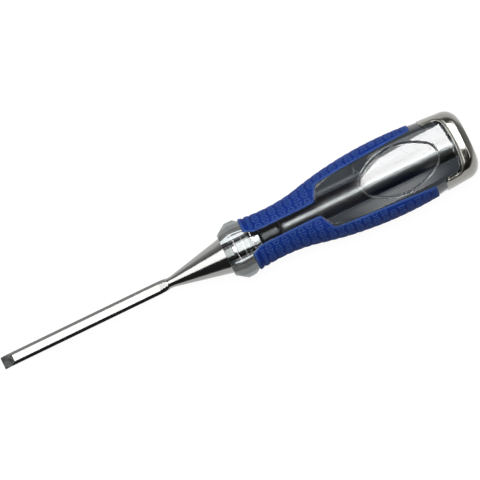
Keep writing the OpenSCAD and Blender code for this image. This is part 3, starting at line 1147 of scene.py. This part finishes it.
def light_studio():
    """A wide softbox overhead and a strip lamp towards the butt, between a grey and a dark side."""
    world = bpy.data.worlds.new("studio")
    bpy.context.scene.world = world
    world.use_nodes = True
    tree = world.node_tree
    tree.nodes.clear()
    calc = maths(tree)

    def step(value, low, high):
        sockets = {"Value": value, "From Min": low, "From Max": high}
        return add(tree, "ShaderNodeMapRange", sockets, interpolation_type="SMOOTHSTEP").outputs[0]

    def fade(value, low, high):
        return calc("SUBTRACT", 1.0, step(value, low, high))

    def within(value, low, high, blur):
        rising = step(value, low - blur, low + blur)
        return calc("MULTIPLY", rising, fade(value, high - blur, high + blur))

    # Directions as slopes along and across the tool from straight up
    way = add(tree, "ShaderNodeTexCoord").outputs["Generated"]
    axes = add(tree, "ShaderNodeSeparateXYZ", {0: way}).outputs
    height = calc("MAXIMUM", axes["Z"], 0.02)
    along = calc("DIVIDE", axes["X"], height)
    across = calc("DIVIDE", axes["Y"], height)

    def panel(along_range, across_range):
        return calc("MULTIPLY", within(along, *along_range), within(across, *across_range))

    def slanted(level, slope, start):
        """A limit across the tool that rises with slope from a level at start."""
        return calc("ADD", level, calc("MULTIPLY", calc("SUBTRACT", along, start), slope))

    def below(limit, blur):
        return step(calc("SUBTRACT", limit, across), -blur, blur)

    softbox = panel((-0.64, 0.0015, 0.001), (-0.245, 0.87, 0.02))
    fill = panel((0.0015, 0.0268, 0.001), (-0.2, 1.6, 0.05))
    front_fill = panel((0.24, 0.46, 0.03), (-0.3, 0.6, 0.05))

    # Haze and strip start slanted, and both lie lower across the tool over the cap
    at_cap = step(along, 0.086, 0.09)
    lowered = calc("ADD", across, calc("MULTIPLY", at_cap, 0.09))
    haze = calc("MULTIPLY", within(along, 0.028, 0.135, 0.0025), within(lowered, 0.09, 0.5, 0.012))
    haze = calc("MULTIPLY", haze, below(slanted(0.2, 20.0, 0.028), 0.02))
    top = calc("MINIMUM", 0.37, slanted(0.27, 1.2, 0.0))
    top = calc("MINIMUM", top, slanted(0.214, 14.0, 0.031))
    top = calc("ADD", top, calc("MULTIPLY", at_cap, 0.03))
    strip = calc("MULTIPLY", haze, below(top, 0.01))

    # A fill for the window's lower half, which grows and fades along the tool
    rear_fill = calc("MULTIPLY", step(along, 0.014, 0.037), fade(along, 0.05, 0.083))
    rear_fill = calc("MULTIPLY", rear_fill, within(across, -0.27, -0.09, 0.03))

    # Surroundings: grey behind and towards the butt, dark in front, paler near the floor
    sides = calc("MAXIMUM", step(axes["Y"], 0.0, 0.4), step(axes["X"], 0.3, 0.7))
    low_light = calc("SUBTRACT", 0.46, calc("MULTIPLY", step(axes["Z"], 0.1, 0.7), 0.34))
    horizon = calc("ADD", 0.06, calc("MULTIPLY", step(axes["Y"], -0.3, 0.2), 0.14))
    horizon = calc("MULTIPLY", fade(axes["Z"], 0.05, 0.22), horizon)
    level = calc("ADD", calc("ADD", calc("MULTIPLY", sides, low_light), horizon), 0.03)

    strengths = (
        (softbox, 3.0), (fill, 0.2), (rear_fill, 3.6), (front_fill, 2.5), (haze, 3.0), (strip, 19.0)
    )
    for lamp, strength in strengths:
        level = calc("ADD", level, calc("MULTIPLY", lamp, strength))
    back = add(tree, "ShaderNodeBackground", {"Color": (1, 1, 1, 1), "Strength": level})
    out = add(tree, "ShaderNodeOutputWorld")
    tree.links.new(back.outputs[0], out.inputs["Surface"])


def set_camera():
    """Looks down on the tool, which points from the lower left to the upper right."""
    tilt, roll = math.radians(5.0), math.radians(25.8)
    distance, seen_width, sensor = 2.0, 0.2254, 36.0
    aim = Vector((0.0043, 0.0038, 0.0128))
    back = Vector((0.0, -math.sin(tilt), math.cos(tilt)))
    level, up = Vector((1.0, 0.0, 0.0)), Vector((0.0, math.cos(tilt), math.sin(tilt)))
    right = level * math.cos(roll) - up * math.sin(roll)
    head = level * math.sin(roll) + up * math.cos(roll)
    camera = bpy.data.objects.new("camera", bpy.data.cameras.new("camera"))
    camera.data.sensor_width = sensor
    camera.data.lens = sensor * distance / seen_width
    place = aim + back * distance
    camera.matrix_world = Matrix(
        [[right[i], head[i], back[i], place[i]] for i in range(3)] + [[0.0, 0.0, 0.0, 1.0]]
    )
    bpy.context.scene.collection.objects.link(camera)
    bpy.context.scene.camera = camera


set_camera()
light_studio()
make_floor()

rubber = grip_rubber()
rows = embossed_rows()
patterns = (
    {
        "Frame": emboss_frame(),
        "Column Pitch": 0.0427,
        "Row Pitch": 0.0282,
        "Columns": 20,
        "Rows": 8,
        "First Column": 0.196,
        "First Row": 0.026,
    },
    {
        "Frame": emboss_bar(),
        "Column Pitch": 0.02,
        "Row Pitch": 0.0115,
        "Columns": 1,
        "Rows": 24,
        "First Column": 0.161,
        "First Row": 0.006,
    },
)
for name, side, node in (("grip_left", -1, "grip_pad_left"), ("grip_right", 1, "grip_pad_right")):
    grip = make_grip(name, side, rubber)
    for pattern in patterns:
        emboss(grip, rows, rubber, pattern)
    settle(grip, node)
for pattern in patterns:
    bpy.data.objects.remove(pattern["Frame"])

settle(make_blade(polished_blade()), "blade")
settle(make_rod(drawn_rod()), "strike_rod")
settle(make_core(smoky_core_painted_shade()), "handle_core")
settle(make_cap(plated_cap()), "strike_cap")

bpy.context.scene.view_settings.view_transform = "Standard"
